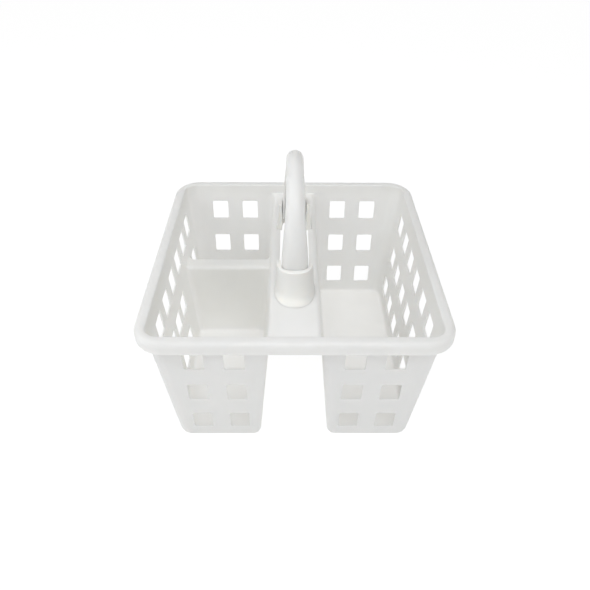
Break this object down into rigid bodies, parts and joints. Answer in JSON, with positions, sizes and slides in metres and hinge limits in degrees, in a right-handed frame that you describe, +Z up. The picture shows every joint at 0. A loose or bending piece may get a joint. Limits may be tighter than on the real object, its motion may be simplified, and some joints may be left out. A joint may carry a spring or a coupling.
{
  "type": "cleaning caddy",
  "caption": "White plastic cleaning caddy: pierced basket with deep wells either side of a channelled bridge, and an arched carrying handle that lifts out of two sockets.",
  "frame": {"origin": "centre of the footprint, on the surface that the caddy stands on", "axes": "+X to the caddy's right, +Y from its front to its back, +Z up"},
  "size_m": [0.32, 0.326, 0.2904],
  "materials": {
    "basket": "satin injection-moulded white polypropylene, slightly translucent",
    "handle": "satin injection-moulded white polypropylene"
  },
  "bodies": {
    "basket": {"bridge_deck_back": "basket", "bridge_deck_front": "basket", "bridge_rail_left": "basket", "bridge_rail_right": "basket", "channel_corner_back_left": "basket", "channel_corner_back_right": "basket", "channel_corner_front_left": "basket", "channel_corner_front_right": "basket", "divider_back_corner_inner": "basket", "divider_back_corner_outer": "basket", "divider_back_wall": "basket", "divider_front_corner_inner": "basket", "divider_front_corner_outer": "basket", "divider_front_wall": "basket", "divider_top": "basket", "handle_socket_back": "basket", "handle_socket_front": "basket", "left_front_well_channel_wall": "basket", "left_front_well_floor": "basket", "left_front_well_side_wall": "basket", "left_rear_well_channel_wall": "basket", "left_rear_well_floor": "basket", "left_rear_well_side_wall": "basket", "left_wells_back_wall": "basket", "left_wells_front_wall": "basket", "left_wells_upper_channel_wall": "basket", "left_wells_upper_side_wall": "basket", "outer_corner_back_left": "basket", "outer_corner_back_right": "basket", "outer_corner_front_left": "basket", "outer_corner_front_right": "basket", "right_well_back_wall": "basket", "right_well_channel_wall": "basket", "right_well_floor": "basket", "right_well_front_wall": "basket", "right_well_side_wall": "basket", "rim_back": "basket", "rim_corner_back_left": "basket", "rim_corner_back_right": "basket", "rim_corner_front_left": "basket", "rim_corner_front_right": "basket", "rim_front": "basket", "rim_left": "basket", "rim_right": "basket"},
    "handle": {"handle_arm_back": "handle", "handle_arm_front": "handle", "handle_grip": "handle", "handle_leg_back": "handle", "handle_leg_front": "handle"}
  },
  "joints": [
    {"name": "handle_lift", "type": "slide", "parent": "basket", "child": "handle", "axis": [0, 0, 1], "range_m": [0, 0.05]}
  ]
}
